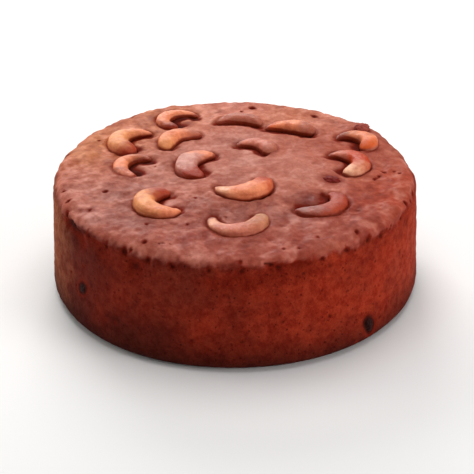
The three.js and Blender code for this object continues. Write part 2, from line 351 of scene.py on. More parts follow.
def plan_distance(points, x, y):
    """How far each point is from a place, seen from above."""
    return np.hypot(points[:, 0] - x, points[:, 1] - y)


def rough_share(points):
    """0 at the smooth middle of the top, rising to 1 out towards its edge."""
    return smooth_step(15, 75, plan_distance(points, *SMOOTH_MIDDLE))


def half_turn(angle):
    """The angle, brought between minus and plus half a turn."""
    return (angle + math.pi) % (2 * math.pi) - math.pi


def unit(vectors):
    """Each vector, made one long."""
    return vectors / np.maximum(np.linalg.norm(vectors, axis=-1, keepdims=True), 1e-12)


def signed_volume(points, faces):
    """The volume inside closed quads or triangles, negative where they point inwards."""
    a, b, c = points[faces[:, 0]], points[faces[:, 1]], points[faces[:, 2]]
    total = np.einsum("ij,ij->", a, np.cross(b, c))
    if faces.shape[1] == 4:
        d = points[faces[:, 3]]
        total += np.einsum("ij,ij->", a, np.cross(c, d))
    return total / 6


def put_mesh(name, points, quads, triangles, colours=None, fields=()):
    """A smooth mesh object from points in millimetres, with its faces turned outwards.

    colours holds one linear colour for each point, and becomes the attribute "tone".
    fields maps the name of a point attribute to one number for each point.
    """
    if signed_volume(points, quads) + signed_volume(points, triangles) < 0:
        quads = quads[:, ::-1]
        triangles = triangles[:, ::-1]
    mesh = bpy.data.meshes.new(name)
    mesh.from_pydata(points * MM, [], [*quads.tolist(), *triangles.tolist()])
    mesh.polygons.foreach_set("use_smooth", np.ones(len(mesh.polygons), bool))
    for field, values in dict(fields).items():
        attribute = mesh.attributes.new(field, "FLOAT", "POINT")
        attribute.data.foreach_set("value", np.asarray(values, np.float32))
    if colours is not None:
        attribute = mesh.attributes.new("tone", "FLOAT_COLOR", "POINT")
        attribute.data.foreach_set("color", colours.astype(np.float32).ravel())
    mesh.update()
    piece = bpy.data.objects.new(name, mesh)
    bpy.context.scene.collection.objects.link(piece)
    return piece


def ring_faces(rings, around, first=0):
    """Quads between neighbouring rings of points, each ring closed on itself."""
    row, column = np.meshgrid(np.arange(rings - 1), np.arange(around), indexing="ij")
    beside = (column + 1) % around
    low = first + row * around
    high = low + around
    quads = np.stack([low + column, low + beside, high + beside, high + column], -1)
    return quads.reshape(-1, 4)


def grid_faces(n):
    """Quads of a square grid whose points run n along each side, from point 0."""
    grid = np.arange(n**2).reshape(n, n)
    quads = np.stack([grid[:-1, :-1], grid[1:, :-1], grid[1:, 1:], grid[:-1, 1:]], -1)
    return quads.reshape(-1, 4)


def fan_faces(ring, pole):
    """Triangles from a closed ring of point numbers to one pole."""
    return np.stack([ring, np.roll(ring, -1), np.full(len(ring), pole)], -1)


def closed_faces(rings, around):
    """Quads between the rings of a body, and triangles from its end rings to two poles.

    The poles' points come straight after those of the rings.
    """
    ring = np.arange(around)
    count = rings * around
    fans = np.concatenate([
        fan_faces(ring, count)[:, ::-1], fan_faces(count - around + ring, count + 1)
    ])
    return ring_faces(rings, around), fans


# ---- The cake's own shape ----

def wall_wave(heading, z):
    """How far the wall stands out: slow waves round the tin."""
    lift = z / HEIGHT
    return WALL_WAVE * (
        0.6 * np.sin(3 * heading + 1.1) + 0.4 * np.sin(5 * heading - 2 * lift + 0.4)
    )


def crust_wave(x, y):
    """How far the top rises or dips: two crossing swells."""
    return CRUST_WAVE * (
        0.6 * np.sin(x / 17 + 0.8) * np.cos(y / 21) + 0.4 * np.sin((x - y) / 13)
    )


def crust_height(x, y):
    """The height of the top crust: a dome that falls with the square of the distance out."""
    share = np.hypot(x, y) / TOP_RADIUS
    return HEIGHT + DOME * (1 - share**2) + crust_wave(x, y)


def top_plan():
    """Plan of the flat of the top: a square grid wrapped onto a disc, cell areas kept equal.

    Each square ring at distance a from the middle becomes a circle of radius a, and the
    place along its side becomes an even share of a quarter turn.
    """
    side = np.linspace(-1, 1, TOP_CELLS + 1)
    across, along = np.meshgrid(side, side, indexing="ij")
    wide = np.abs(across) > np.abs(along)
    main = np.where(wide, across, along)
    other = np.where(wide, along, across)
    turn = (math.pi / 4) * np.divide(other, main, out=np.zeros_like(other), where=main != 0)
    radius = main * FLAT_RADIUS
    x = np.where(wide, radius * np.cos(turn), radius * np.sin(turn))
    y = np.where(wide, radius * np.sin(turn), radius * np.cos(turn))
    return x, y


def square_rim():
    """Point numbers round the outside of the top's grid, anticlockwise from its corner."""
    n = TOP_CELLS
    grid = np.arange((n + 1) ** 2).reshape(n + 1, n + 1)
    return np.concatenate([grid[:-1, 0], grid[-1, :-1], grid[:0:-1, -1], grid[0, :0:-1]])


def side_profile():
    """Distance out, height, slope and length along the surface, from the top edge to the base.

    A quarter circle turns the top over into the wall, the wall runs straight and leans
    out a little, another quarter circle tucks the foot under, and the base runs inwards.
    """
    edge = np.linspace(0, math.pi / 2, EDGE_ROWS + 1)[1:]
    wall = np.linspace(0, 1, WALL_ROWS + 1)[1:]
    foot = np.linspace(0, math.pi / 2, FOOT_ROWS + 1)[1:]
    base = np.linspace(1, 0, BASE_ROWS + 2)[1:-1]
    edge_z = HEIGHT - EDGE_ROUND
    out = np.concatenate([
        FLAT_RADIUS + EDGE_ROUND * np.sin(edge),
        TOP_RADIUS + (BASE_RADIUS - TOP_RADIUS) * wall,
        BASE_RADIUS - FOOT_ROUND + FOOT_ROUND * np.cos(foot),
        (BASE_RADIUS - FOOT_ROUND) * base,
    ])
    z = np.concatenate([
        edge_z + EDGE_ROUND * np.cos(edge),
        edge_z + (FOOT_ROUND - edge_z) * wall,
        FOOT_ROUND - FOOT_ROUND * np.sin(foot),
        0 * base,
    ])
    tilt = np.concatenate([edge, 0 * wall + math.pi / 2, math.pi / 2 + foot, 0 * base + math.pi])
    steps = np.hypot(np.diff(out, prepend=FLAT_RADIUS), np.diff(z, prepend=HEIGHT))
    return out, z, tilt, FLAT_RADIUS + np.cumsum(steps)


def cake_grid():
    """Smooth points of the whole cake, their outward directions, and where each one lies.

    The top's grid comes first, then the rows of the side from the top edge to the base,
    then the base's middle.
    """
    x, y = (a.ravel() for a in top_plan())
    out, z, tilt, length = side_profile()
    rim = square_rim()
    heading = np.arctan2(y[rim], x[rim])
    side_x = out[:, None] * np.cos(heading)
    side_y = out[:, None] * np.sin(heading)
    side_z = z[:, None] + 0 * heading
    points = np.concatenate([
        np.stack([x, y, HEIGHT + 0 * x], -1),
        np.stack([side_x, side_y, side_z], -1).reshape(-1, 3),
        [[0, 0, 0]],
    ])
    ahead = np.stack([np.cos(heading), np.sin(heading)], -1)
    side_normal = np.concatenate([
        np.sin(tilt)[:, None, None] * ahead[None],
        np.cos(tilt)[:, None, None] + 0 * ahead[None, :, :1],
    ], -1)
    normals = np.concatenate([
        np.tile([0.0, 0.0, 1.0], (len(x), 1)), side_normal.reshape(-1, 3), [[0, 0, -1.0]]
    ])
    along = np.concatenate([
        np.hypot(x, y), np.repeat(length, len(heading)), [length[-1] + BASE_RADIUS]
    ])
    return points, normals, along


def cake_faces():
    """Quads of the top's grid and of the side's rows, and triangles that close the base."""
    rim = square_rim()
    first = (TOP_CELLS + 1) ** 2
    rows = EDGE_ROWS + WALL_ROWS + FOOT_ROWS + BASE_ROWS
    after = first + np.arange(COLUMNS)
    join = np.stack([rim, after, np.roll(after, -1), np.roll(rim, -1)], -1)
    side = ring_faces(rows, COLUMNS, first)[:, ::-1]
    last = first + (rows - 1) * COLUMNS + np.arange(COLUMNS)
    fan = fan_faces(last, first + rows * COLUMNS)[:, ::-1]
    return np.concatenate([grid_faces(TOP_CELLS + 1), join, side]), fan


# ---- Nuts and raisins, as forms ----

def nut_line(nut, along):
    """The nut's centre line, half width and heading at shares along it, from -1 to 1.

    The line is an arc that opens out evenly towards one end. The half width is that of a
    blunt-ended spindle, and grows evenly towards the fatter end.
    """
    heading = math.radians(nut["faces"]) + math.radians(nut["sweep"]) / 2 * along
    blunt = np.sqrt(1 - np.abs(along) ** NUT_BLUNTNESS)
    half = nut["width"] / 2 * (1 + nut["thick"] * along) * blunt
    middle = crust_height(nut["x"], nut["y"]) + nut["rise"] + nut["lean"] * along
    out = nut["bend"] * (1 + nut["open"] * along)
    x = nut["x"] + out * np.cos(heading)
    y = nut["y"] + out * np.sin(heading)
    return np.stack([x, y, middle], -1), half, heading


def back_side(nut, x, y):
    """1 past the back of the bend and 0 in its hollow, smooth across the nut's width."""
    turn = half_turn(np.arctan2(y - nut["y"], x - nut["x"]) - math.radians(nut["faces"]))
    along = np.clip(turn / (math.radians(nut["sweep"]) / 2), -1, 1)
    out = np.hypot(x - nut["x"], y - nut["y"]) - nut["bend"] * (1 + nut["open"] * along)
    return smooth_step(-0.5, 0.5, out / (nut["width"] / 2))


def nut_bed(nut, x, y):
    """Plan distance from each place to the nut's outline, and the height of its underside.

    The nut is taken as a row of balls, pressed flat, along its centre line. A place's
    distance is to the nearest ball's edge, and the underside is the lowest ball's.
    """
    along = -np.cos(np.linspace(0.03, math.pi - 0.03, 60))
    line, half, _ = nut_line(nut, along)
    away = np.full(x.shape, 1e9)
    under = np.full(x.shape, 1e9)
    for centre, radius in zip(line, half):
        reach = np.hypot(x - centre[0], y - centre[1])
        away = np.minimum(away, reach - radius)
        drop = np.sqrt(np.maximum(radius**2 - reach**2, 0))
        low = centre[2] - NUT_FLATNESS * drop
        under = np.where(drop > 0, np.minimum(under, low), under)
    return away, under


def raisin_place(raisin):
    """The raisin's middle and its turn, a matrix whose last column points out of the crust."""
    heading = math.radians(raisin["heading"])
    ahead = Vector((math.cos(heading), math.sin(heading), 0))
    if raisin["radius"] is not None:
        outward = Vector((0, 0, 1))
        middle = ahead * raisin["radius"]
        middle.z = crust_height(middle.x, middle.y)
    else:
        outward = ahead
        lift = raisin["height"] - FOOT_ROUND
        share = min(max(lift / (HEIGHT - EDGE_ROUND - FOOT_ROUND), 0), 1)
        out = BASE_RADIUS + (TOP_RADIUS - BASE_RADIUS) * share
        middle = ahead * (out + wall_wave(heading, raisin["height"]))
        middle.z = raisin["height"]
    lie = Vector((0, 0, 1)).rotation_difference(outward)
    spin = Quaternion(outward, math.radians(raisin["turn"]))
    return np.array(middle - outward * raisin["sink"]), np.array((spin @ lie).to_matrix())


def raisin_bed(raisin, points, normals):
    """How far each point has to sink to lie under the raisin, and how near it is to it.

    The raisin is taken as an ellipsoid. A point well inside it goes back against its own
    normal until it is on the far side. Nearness is 1 at its outline and falls to 0 a little
    way off.
    """
    middle, turn = raisin_place(raisin)
    half = np.array([raisin["wide"], raisin["long"], raisin["tall"]]) / 2
    place = (points - middle) @ turn / half
    way = normals @ turn / half
    square = np.einsum("ij,ij->i", place, place)
    lead = np.einsum("ij,ij->i", way, way)
    lean = np.einsum("ij,ij->i", place, way)
    inside = square < 0.6
    root = np.sqrt(np.maximum(lean**2 - lead * (square - 1), 0))
    sink = np.where(inside, (lean + root) / lead, 0)
    near = 1 - smooth_step(1.0, RAISIN_REACH, np.sqrt(square))
    return sink, near


# ---- The cake ----

def surface_distance(points, along, heading, length):
    """Distance over the surface from a place given by its heading and length from the middle."""
    out = np.hypot(points[:, 0], points[:, 1])
    turn = half_turn(np.arctan2(points[:, 1], points[:, 0]) - math.radians(heading))
    square = along**2 + length**2 - 2 * along * length * np.cos(turn)
    flat = np.sqrt(np.maximum(square, 0))
    round_wall = np.hypot(along - length, out * turn)
    return np.where(along < FLAT_RADIUS, flat, round_wall)


def pit(away, size):
    """The depth of a round-bottomed pit of that radius, at that distance from its middle."""
    return PIT_DEPTH * size * (1 - smooth_step(0.15 * size, size, away))


def small_pores():
    """Headings, lengths and sizes of the small pores scattered over the wall and the edge."""
    draw = np.random.default_rng(SMALL_PORE_SEED)
    heading = draw.uniform(0, 360, SMALL_PORES)
    length = draw.uniform(*SMALL_PORE_SPAN, SMALL_PORES)
    size = 0.55 + 0.75 * draw.random(SMALL_PORES) ** 2.5
    return list(zip(heading, length, size))


def crack_depth(points, along, crack):
    """A groove that wanders round the cake, breaks off here and there and fades at its ends."""
    first, last, length, width = crack
    broken = smooth_step(-0.25, 0.35, swell(points, 3.0, 17))
    away = np.abs(along - length - layered(points, CRACK_WANDER))
    groove = 1 - smooth_step(0.15 * width, width, away)
    return between(points, first, last, 4) * broken * width * groove


def between(points, first, last, fade):
    """1 between two headings in degrees, and 0 past them, with soft ends."""
    heading = np.degrees(np.arctan2(points[:, 1], points[:, 0])) % 360
    heading = np.where(heading < first - 60, heading + 360, heading)
    start = smooth_step(first, first + fade, heading)
    return start * (1 - smooth_step(last - fade, last, heading))


def overhang(points, along):
    """How deep the dark recess under the crust's edge is, and how far the edge stands out."""
    place = along + layered(points, RECESS_WANDER)
    patchy = smooth_step(-0.7, 0.3, swell(points, 11, 18))
    strength = np.zeros(len(points))
    for first, last, depth in OVERHANGS:
        strength = np.maximum(strength, depth * between(points, first, last, 9))
    recess = smooth_step(*RECESS_STARTS, place) * (1 - smooth_step(*RECESS_ENDS, place))
    ledge = bell(place, LEDGE_PLACE, LEDGE_WIDTH)
    return recess * strength * patchy, ledge * strength


def crust_tone(points):
    """The colour of the top: one brown with the listed patches of other tones, uneven browning
    and some painted highlights, sheen and shade, and a random mottle.
    """
    colours = np.tile(tone("crust"), (len(points), 1))
    ragged = 1 + layered(points, PATCH_EDGES)
    for x, y, reach, name, strength in TOP_PATCHES:
        near = bell(plan_distance(points, x, y), 0, reach)
        share = np.clip(strength * near * ragged, 0, 1)
        colours = blend(colours, tone(name), share)
    mottle = layered(points, MOTTLE)
    strength = 0.30 + 0.42 * rough_share(points)
    colours = blend(colours, tone("pale_crust"), 0.75 * strength * np.clip(mottle, 0, 1))
    return blend(colours, tone("dark_crust"), strength * np.clip(-mottle, 0, 1))


def crumb_tone(points):
    """The colour of the wall: red and brown crumb that shifts round the cake, partly as painted
    light, a tan strip of painted sheen on the -X side, and darker at the foot, partly as painted
    shade.
    """
    heading = np.arctan2(points[:, 1], points[:, 0])
    # Redder and more orange towards +X and browner towards -X: partly the crumb's own colour,
    # partly painted light falling from the +X side.
    red = 0.35 + 0.5 * np.cos(heading + 0.6) + layered(points, CRUMB_PATCHES)
    colours = blend(tone("dark_crumb"), tone("red_crumb"), np.clip(red, 0, 1))
    brown = smooth_step(0.0, 1.0, -np.cos(heading) + 0.5 * swell(points, 20, 23))
    colours = blend(colours, tone("brown_crumb"), 0.6 * brown)
    right = smooth_step(0.74, 0.98, np.cos(heading) + 0.06 * swell(points, 8, 36))
    colours = blend(colours, tone("ember"), 0.6 * right)
    # A tan strip on the -X side: painted sheen at the wall's grazing edge.
    edge = smooth_step(0.84, 1.0, -np.cos(heading) + 0.04 * swell(points, 6, 28))
    colours = blend(colours, tone("painted_sheen_tan"), 0.55 * edge)
    # Darker towards the foot: partly the crumb's own colour, partly painted shade.
    foot = 1 - smooth_step(-4.0, 27.0, points[:, 2] + 2.5 * swell(points, 7, 24))
    return blend(colours, tone("scorch_and_shade_dark"), 0.9 * foot)


def edge_turn(points, normals):
    """How far the surface has turned from the top, 0, to the wall, 1, in a ragged line."""
    return 1 - normals[:, 2] + layered(points, EDGE_WANDER)


def wave_body(points):
    """Puts the slow waves on the smooth body, and centres it in plan.

    The top rises to crust_height, less and less down the rounded edge. The wall stands out
    by wall_wave, and everything inside it by an even share of that.
    """
    heading = np.arctan2(points[:, 1], points[:, 0])
    out = np.hypot(points[:, 0], points[:, 1])
    wave = wall_wave(heading, points[:, 2]) * np.minimum(1, out / BASE_RADIUS) / BASE_RADIUS
    lift = smooth_step(HEIGHT - EDGE_ROUND, HEIGHT, points[:, 2])
    points[:, 2] += (crust_height(points[:, 0], points[:, 1]) - HEIGHT) * lift
    points[:, :2] *= 1 + wave[:, None]
    middle = (points.max(0) + points.min(0)) / 2
    points[:, :2] -= middle[:2]


def lumps(points, along, side):
    """Slow swells, lumps and fine crumb: one kind on the top, one on the wall, one at the rim."""
    top_relief = layered(points, TOP_LUMPS) * (0.8 + 0.7 * rough_share(points))
    for x, y, reach, height in BULGES:
        top_relief += height * bell(plan_distance(points, x, y), 0, reach)
    relief = top_relief * (1 - side) + layered(points, WALL_LUMPS) * side
    rim = smooth_step(*RIM_STARTS, along) * (1 - smooth_step(*RIM_ENDS, along))
    return relief + rim * layered(points, RIM_LUMPS)


def pores_and_cracks(points, along):
    """How deep every pore and crack goes, added up, and how dark they make the surface as painted
    shade.
    """
    depth = np.zeros(len(points))
    dark = np.zeros(len(points))
    ragged = 1 + 0.6 * swell(points, 1.9, 10)
    for heading, length, size in PORES + small_pores():
        away = surface_distance(points, along, heading, length) * ragged
        depth += pit(away, size)
        dark = np.maximum(dark, 0.8 * (1 - smooth_step(0.3 * size, 1.4 * size, away)))
    for crack in CRACKS:
        groove = crack_depth(points, along, crack)
        depth += groove
        dark = np.maximum(dark, 0.9 * np.minimum(1, groove / (0.7 * crack[3])))
    return depth, dark


def nut_marks(points):
    """What the nuts do to the crust: its rise, its darkness, and the height it stays under.

    There is a crevice beside each nut, darkened partly as scorch and partly as painted shade, a
    hollow inside its bend, darkened as painted shade, a low lip past its back, and batter that
    climbs over it. Well inside the nut the crust dives under it.
    """
    x, y = points[:, 0], points[:, 1]
    rise = np.zeros(len(points))
    dark = np.zeros(len(points))
    under = np.full(len(points), 1e9)
    uneven = swell(points, 7, 13)
    fine = swell(points, 2.4, 27)
    for nut in NUTS:
        away, low = nut_bed(nut, x, y)
        back = back_side(nut, x, y)
        over = nut["batter"] * back * (0.75 + 0.4 * uneven)
        under = np.where(away < -1.0 - 1.2 * over, np.minimum(under, low), under)
        crevice = (1 - smooth_step(0.3, 1.7, away + 0.45 * fine)) * (0.75 + 0.4 * uneven)
        crevice *= np.clip(1 - 1.3 * over, 0, 1)
        reach = 1.5 + 5.5 * nut["notch"] ** 2
        hollow = nut["notch"] * (1 - back) * (1 - smooth_step(0.3 * reach, reach, away + fine))
        lip = (0.15 + 0.3 * uneven) * bell(away, 2.6, 1.6) * back
        climb = BATTER_RISE * over * bell(away, -0.7, 2.0)
        rise += lip + climb - CREVICE_DEPTH * crevice - HOLLOW_DEPTH * hollow
        # The crevice and the hollow darken the crust: partly scorch and partly painted shade in
        # the crevice, painted shade in the hollow.
        dark = np.maximum(dark, np.maximum(0.6 * crevice, 0.85 * hollow))
    return rise, np.clip(dark, 0, 1), under


def cake_tone(points, turned, side, fringe, shade_and_scorch):
    """The colour of the cake: crust, crumb, a browned rim, a band of painted shade under the top
    edge, and dark marks that are painted shade in pits, cracks, recesses and hollows, and partly
    scorch, partly painted shade in the crevices by the nuts.
    """
    browned = smooth_step(0.12, 0.50, turned + 0.2 * swell(points, 9, 35))
    colours = blend(crust_tone(points), tone("russet"), 0.6 * browned)
    colours = blend(colours, crumb_tone(points), side)
    # The dark band under the top edge: painted shade.
    colours = blend(colours, tone("dark_crumb"), 0.6 * fringe)
    colours = blend(colours, tone("crevice"), smooth_step(0.0, 0.6, shade_and_scorch))
    return blend(colours, tone("scorch_and_shade_dark"), 0.9 * smooth_step(0.5, 1.0, shade_and_scorch))


def make_cake():
    """The whole cake as one closed surface.

    The smooth body gets its slow waves. Relief then moves each point along its outward
    direction: lumps, the ledge and recess at the edge, pores, cracks, and the marks of the
    nuts and raisins. One attribute gathers, from 0 to 1, how dark these make the surface:
    painted shade in the recess, pores, cracks and the nuts' hollows, partly scorch and partly
    painted shade in the crevices by the nuts, and a darkening round each raisin.
    """
    points, normals, along = cake_grid()
    turned = edge_turn(points, normals)
    side = smooth_step(0.26, 0.70, turned)
    # fringe is a dark band just under the top edge: painted shade under the crust's edge.
    fringe = bell(turned, 0.62, 0.22) * smooth_step(-0.6, 0.5, swell(points, 5, 34))
    wave_body(points)

    recess, ledge = overhang(points, along)
    depth, shade_and_scorch = pores_and_cracks(points, along)
    relief = lumps(points, along, side) + LEDGE_OUT * ledge - RECESS_DEPTH * recess - depth
    # The recess under the crust's edge is darkened: painted shade.
    shade_and_scorch = np.maximum(shade_and_scorch, 0.97 * recess)

    flat = along < FLAT_RADIUS + 2
    rise, dark, under = nut_marks(points[flat])
    relief[flat] += rise
    shade_and_scorch[flat] = np.maximum(shade_and_scorch[flat], dark)
    for raisin in RAISINS:
        raised = points + normals * relief[:, None]
        sink, near = raisin_bed(raisin, raised, normals)
        relief -= np.maximum(sink, 0.3 * near)
        # Darker round each raisin, more on the wall.
        shade_and_scorch = np.maximum(shade_and_scorch, (0.35 + 0.65 * side) * near)

    colours = cake_tone(points, turned, side, fringe, shade_and_scorch)
    foot = smooth_step(0, FOOT_ROUND, points[:, 2])
    points = points + normals * (relief * foot)[:, None]
    points[flat, 2] = np.minimum(points[flat, 2], under)
    quads, fan = cake_faces()
    return put_mesh("baked_cake", points, quads, fan, colours, {"side": side, "shade_and_scorch": shade_and_scorch})


# ---- Nuts and raisins, as pieces ----

def nut_tone(nut, number, points, along):
    """The colour of a nut: three tones from end to end, batter, and brown low down near the
    crust, partly toasting and partly painted shade.

    along is each point's share along the nut, from -1 to 1.
    """
    patch = swell(points, 4.5, 80 + number) + 0.5 * swell(points, 1.8, 90 + number)
    place = along + 0.22 * patch
    first, middle, last = (tone(name) for name in nut["tones"])
    colours = blend(first, middle, smooth_step(-0.85, -0.15, place))
    colours = blend(colours, last, smooth_step(0.15, 0.85, place))
    colours = blend(colours, tone("russet_nut"), 0.35 * smooth_step(0.1, 0.9, patch))

    above = points[:, 2] - crust_height(points[:, 0], points[:, 1])
    crown = nut["rise"] + nut["width"] / 2 * NUT_FLATNESS
    climb = above / crown + 0.12 * patch
    back = back_side(nut, points[:, 0], points[:, 1])
    reach = 2.2 * nut["batter"] * (0.35 + 0.65 * back) - above / 4 + 0.3 * patch
    batter = smooth_step(0.1, 0.6, reach) * (nut["batter"] > 0.05)
    colours = blend(colours, tone("coated_nut"), batter)
    # Darker low down near the crust: partly toasting, partly painted shade on the nut's lower
    # sides.
    toasted_and_shaded = 1 - smooth_step(0.08, 0.42, climb)
    colours = blend(colours, tone("russet_nut"), 0.5 * toasted_and_shaded * (1 - batter))
    baked_and_shaded = 1 - smooth_step(0.03, 0.22, climb)
    return blend(colours, tone("brown_nut"), 0.9 * baked_and_shaded * (1 - nut["batter"] * back))


def make_nut(number, nut):
    """A blunt spindle with an oval section, carried along the nut's bent centre line.

    A half's upper side is pressed flat, the back has a faint seam along it, and the whole
    is slightly lumpy. Both ends close on a pole.
    """
    along = -np.cos(np.linspace(0, math.pi, NUT_ALONG + 2))
    line, half, heading = nut_line(nut, along[1:-1])
    ends, _, _ = nut_line(nut, along[[0, -1]])
    turn = np.linspace(0, 2 * math.pi, NUT_AROUND, endpoint=False)
    outward = np.stack([np.cos(heading), np.sin(heading), 0 * heading], -1)
    up = np.array([0, 0, 1.0])

    across = np.cos(turn)[None, :] * (1 - 0.06 * (np.cos(turn) < 0))[None, :]
    lift = np.sin(turn)
    press = 1.1 + 0.9 * nut["split"]
    cap = 1 - 0.4 * nut["split"]
    lift = np.where(lift > 0, cap * np.tanh(press * lift) / np.tanh(press), lift)
    seam = 0.055 * bell((turn + 0.5) % (2 * math.pi), 0.75, 0.10)
    size = half[:, None] * (1 - seam[None, :])
    points = (
        line[:, None, :]
        + outward[:, None, :] * (size * across)[..., None]
        + up * (size * lift[None, :] * NUT_FLATNESS)[..., None]
    )
    fullness = np.sqrt(half / half.max())[:, None]
    layers = ((0.34, 5.0, 20 + number), (0.17, 2.3, 40 + number), (0.06, 1.1, 60 + number))
    direction = unit(points - line[:, None, :])
    points = points + direction * (layered(points, layers) * fullness)[..., None]

    skin = np.concatenate([points.reshape(-1, 3), ends])
    place = np.concatenate([np.repeat(along[1:-1], NUT_AROUND), [-1, 1]])
    colours = nut_tone(nut, number, skin, place)
    quads, fans = closed_faces(NUT_ALONG, NUT_AROUND)
    return put_mesh(f"baked_cashew_{number:02d}", skin, quads, fans, colours)


def make_raisin(number, raisin):
    """A pressed ball with five long puckers and fine creases, in the raisin's own turn."""
    middle, turn_matrix = raisin_place(raisin)
    slant = np.linspace(0, math.pi, RAISIN_ALONG + 2)[1:-1, None]
    turn = np.linspace(0, 2 * math.pi, RAISIN_AROUND, endpoint=False)[None, :]
    ball = np.stack([
        np.sin(slant) * np.cos(turn), np.cos(slant) + 0 * turn, np.sin(slant) * np.sin(turn)
    ], -1)
    crease = 1 - np.abs(swell(ball * 3, 0.85, 100 + number))
    bend = 0.6 * swell(ball * 3, 2.0, 110 + number)
    pucker = 1 - 0.07 * (1 + np.cos(5 * (turn + bend))) - 0.10 * crease**3
    half = np.array([raisin["wide"], raisin["long"], raisin["tall"]]) / 2
    body = ball * pucker[..., None] * half
    poles = np.array([[0, 0.97, 0], [0, -0.97, 0]]) * half
    local = np.concatenate([body.reshape(-1, 3), poles])
    points = local @ turn_matrix.T + middle
    quads, fans = closed_faces(RAISIN_ALONG, RAISIN_AROUND)
    creases = np.concatenate([crease.ravel() ** 3, [0.5, 0.5]])
    light, dark = (tone(name) for name in raisin["tones"])
    # Darker deep in the creases: painted shade.
    colours = blend(light, dark, np.clip(0.35 + 0.6 * creases, 0, 1))
    return put_mesh("baked_" + raisin["name"], points, quads, fans, colours)


# ---- Shader groups ----

def new_group(name, inputs, outputs):
    """An empty shader group; inputs and outputs map a kind of socket to its names."""
    group = bpy.data.node_groups.new(name, "ShaderNodeTree")
    for way, sockets in (("INPUT", inputs), ("OUTPUT", outputs)):
        for kind, titles in sockets.items():
            for title in titles:
                group.interface.new_socket(title, in_out=way, socket_type="NodeSocket" + kind)
    given = group.nodes.new("NodeGroupInput").outputs
    return group, given, group.nodes.new("NodeGroupOutput")


def fill(tree, node, inputs):
    """Joins each of the node's inputs to a socket, or sets it to a plain value."""
    for key, value in inputs.items():
        if isinstance(value, bpy.types.NodeSocket):
            tree.links.new(value, node.inputs[key])
        else:
            node.inputs[key].default_value = value
    return node


def math_node(tree, kind, first, second):
    """A Math node with two inputs."""
    node = tree.nodes.new("ShaderNodeMath")
    node.operation = kind
    return fill(tree, node, {0: first, 1: second}).outputs[0]


def spread_node(tree, value, low, high, to_low=0.0, to_high=1.0):
    """A Map Range node, smooth at both ends."""
    node = tree.nodes.new("ShaderNodeMapRange")
    node.interpolation_type = "SMOOTHSTEP"
    ends = {"From Min": low, "From Max": high, "To Min": to_low, "To Max": to_high}
    return fill(tree, node, {"Value": value, **ends}).outputs["Result"]


def noise_node(tree, vector, scale, detail, roughness=0.55):
    """A Noise node."""
    inputs = {"Vector": vector, "Scale": scale, "Detail": detail, "Roughness": roughness}
    return fill(tree, tree.nodes.new("ShaderNodeTexNoise"), inputs)


def mix_colours(tree, mask, first, second, kind="MIX"):
    """A Mix node for colours, whose three sockets these are: 0 the mask, 6 and 7 the colours."""
    node = tree.nodes.new("ShaderNodeMix")
    node.data_type = "RGBA"
    node.blend_type = kind
    return fill(tree, node, {0: mask, 6: first, 7: second}).outputs[2]


def baked_grain():
    """Crumb: slow mottling, small pits and fine grain.

    Mask is the two noises together, from 0 to 1. Pits is where a ragged cell pattern comes
    near its cell middles. Height is the grain with the pits pressed into it.
    """
    group, given, end = new_group(
        "Baked grain",
        {"Vector": ["Vector"], "Float": SCALE_FIELDS},
        {"Float": ["Mask", "Pits", "Height"]},
    )
    vector, pit_scale = given["Vector"], given["Pit Scale"]
    mottle = noise_node(group, vector, given["Mottle Scale"], detail=5)
    fine = noise_node(group, vector, given["Grain Scale"], detail=6, roughness=0.65)
    shift = noise_node(group, vector, pit_scale, detail=3)
    push = group.nodes.new("ShaderNodeVectorMath")
    push.operation = "MULTIPLY_ADD"
    fill(group, push, {0: shift.outputs["Color"], 1: (PIT_SHIFT,) * 3, 2: vector})
    cells = group.nodes.new("ShaderNodeTexVoronoi")
    fill(group, cells, {"Vector": push.outputs[0], "Scale": pit_scale})
    lack = math_node(group, "SUBTRACT", given["Pit Share"], cells.outputs["Distance"])
    pits = spread_node(group, lack, 0.0, 0.18)
    grain = math_node(group, "MULTIPLY", fine.outputs["Fac"], 0.7)
    height = math_node(group, "SUBTRACT", grain, math_node(group, "MULTIPLY", pits, 0.4))
    slow = spread_node(group, mottle.outputs["Fac"], 0.36, 0.64, to_high=0.6)
    quick = spread_node(group, fine.outputs["Fac"], 0.36, 0.64, to_high=0.4)
    mask = math_node(group, "ADD", slow, quick)
    fill(group, end, {"Mask": mask, "Pits": pits, "Height": height})
    return group


def speckle():
    """A colour multiplied by one factor or another by a mask, and by a third, painted shade, in
    the pits.
    """
    group, given, end = new_group(
        "Speckle", {"Float": ["Mask", "Pits"], "Color": ["Tone", *FACTOR_FIELDS]},
        {"Color": ["Color"]},
    )
    factor = mix_colours(group, given["Mask"], given["Dark Factor"], given["Light Factor"])
    factor = mix_colours(group, given["Pits"], factor, given["Pit Factor"])
    fill(group, end, {"Color": mix_colours(group, 1.0, given["Tone"], factor, "MULTIPLY")})
    return group


def place_group(tree, group, inputs):
    """A group node in a material, with its inputs filled."""
    node = tree.nodes.new("ShaderNodeGroup")
    node.node_tree = group
    return fill(tree, node, inputs).outputs


def new_material(name, roughness, specular):
    """A material with a Principled shader, and its tree, shader and Object coordinates."""
    material = bpy.data.materials.new(name)
    material.use_nodes = True
    tree = material.node_tree
    shader = tree.nodes["Principled BSDF"]
    fill(tree, shader, {"Roughness": roughness, "Specular IOR Level": specular})
    place = tree.nodes.new("ShaderNodeTexCoord").outputs["Object"]
    return material, tree, shader, place


def field(tree, name, output="Fac"):
    """A point attribute, as a value or as a colour."""
    node = tree.nodes.new("ShaderNodeAttribute")
    node.attribute_name = name
    return node.outputs[output]


def bump(tree, shader, height, depth):
    """A Bump node from a height that spans depth, in metres."""
    node = fill(tree, tree.nodes.new("ShaderNodeBump"), {"Distance": depth, "Height": height})
    fill(tree, shader, {"Normal": node.outputs["Normal"]})


